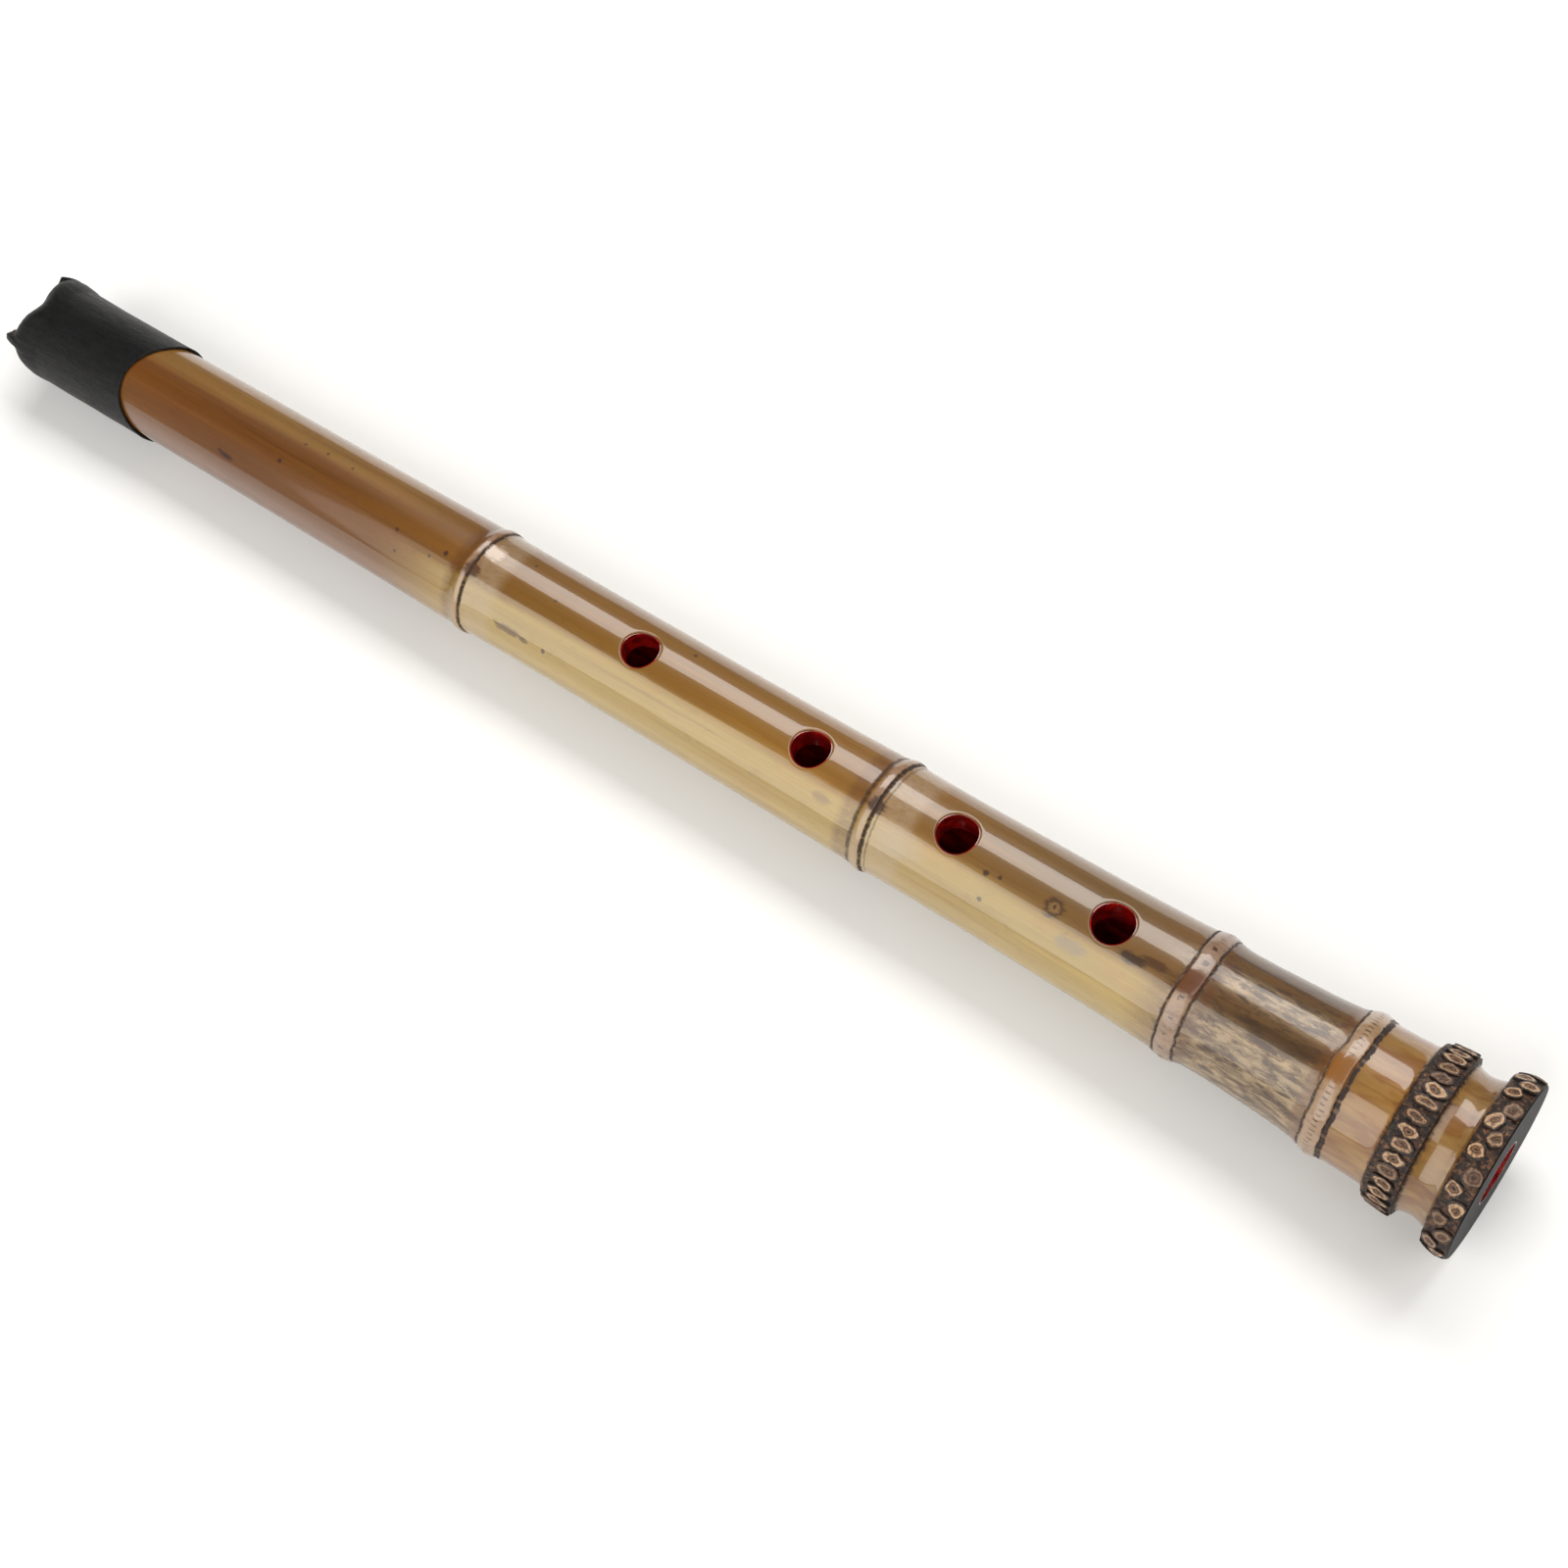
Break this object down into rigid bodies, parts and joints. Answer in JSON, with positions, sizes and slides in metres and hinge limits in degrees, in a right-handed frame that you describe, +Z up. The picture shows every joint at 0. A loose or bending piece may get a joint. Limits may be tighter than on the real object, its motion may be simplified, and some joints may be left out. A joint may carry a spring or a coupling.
{
  "type": "shakuhachi",
  "caption": "End-blown bamboo flute with a flared root end, five tone holes, a lacquered bore, a slanting blowing edge with a horn inlay, and a leather cap that pulls off.",
  "frame": {"origin": "centre of the bounding box in plan, on the surface that the end rim touches, with the flute lying down", "axes": "+X along the flute from the mouth to the root end, +Z up through the four finger holes, +Y to the left of a viewer who looks along +X"},
  "size_m": [0.5576, 0.0554, 0.0553],
  "materials": {
    "bamboo": "glossy lacquered bamboo",
    "filler_paste": "hard matte paste of lacquer and clay",
    "red_lacquer": "gloss",
    "black_lacquer": "gloss",
    "horn": "polished",
    "leather": "fine grain, satin",
    "thread": "waxed"
  },
  "bodies": {
    "flute": {"culm": "bamboo", "bore_filler": "filler_paste", "bore_lacquer": "red_lacquer", "root_end_lacquer": "black_lacquer", "blowing_edge_inlay": "horn"},
    "cap": {"cap_leather": "leather", "cap_end_stitches": "thread", "cap_side_stitches": "thread"}
  },
  "joints": [
    {"name": "cap_slide", "type": "slide", "parent": "flute", "child": "cap", "axis": [-1, 0, 0], "range_m": [0, 0.06]}
  ]
}
